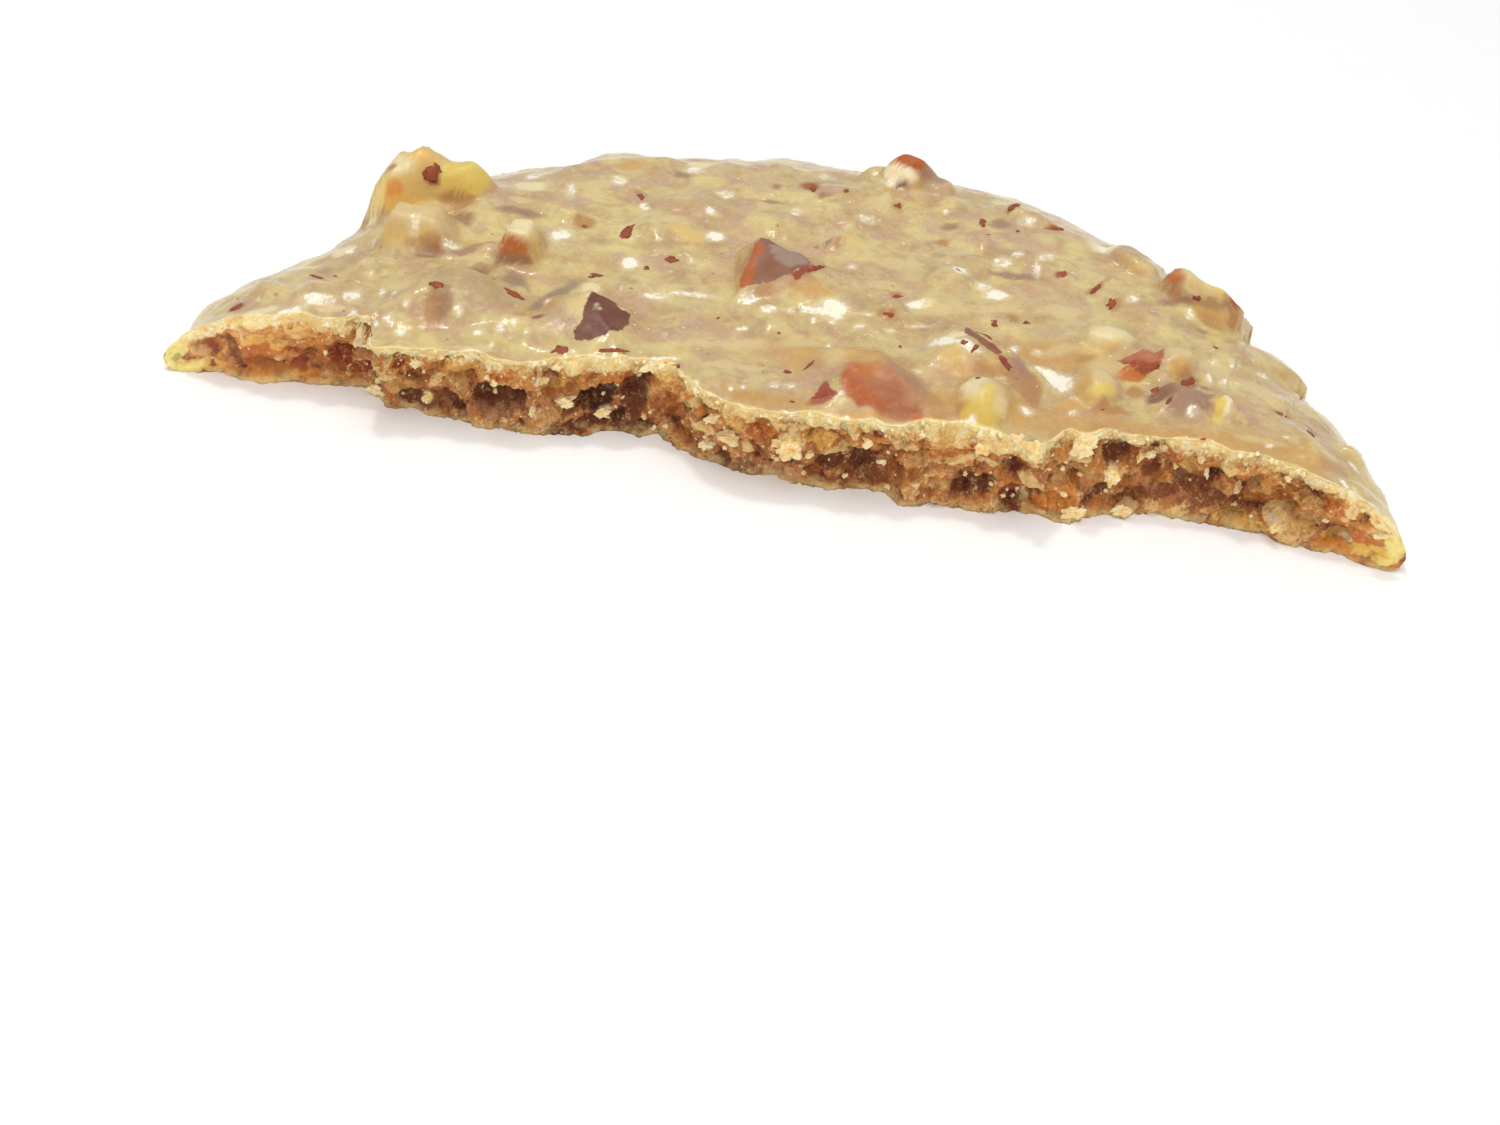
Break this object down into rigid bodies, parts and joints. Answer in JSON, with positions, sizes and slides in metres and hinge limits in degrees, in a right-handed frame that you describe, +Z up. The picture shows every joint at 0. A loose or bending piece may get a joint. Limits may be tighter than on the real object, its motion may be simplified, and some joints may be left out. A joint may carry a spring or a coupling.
{
  "type": "pecan praline half",
  "caption": "Broken half of a thin round pecan praline: tan candy over chopped nuts, with a flat underside, a rounded rim and a crumbly broken face.",
  "frame": {"origin": "on the flat underside, under the middle of the half's bounding box", "axes": "+X along the broken edge, +Y from the broken edge to the round rim, +Z up from the flat underside"},
  "size_m": [0.092, 0.0446, 0.01],
  "materials": {
    "candy": "satin"
  },
  "bodies": {
    "root": {"praline": "candy"}
  },
  "joints": []
}
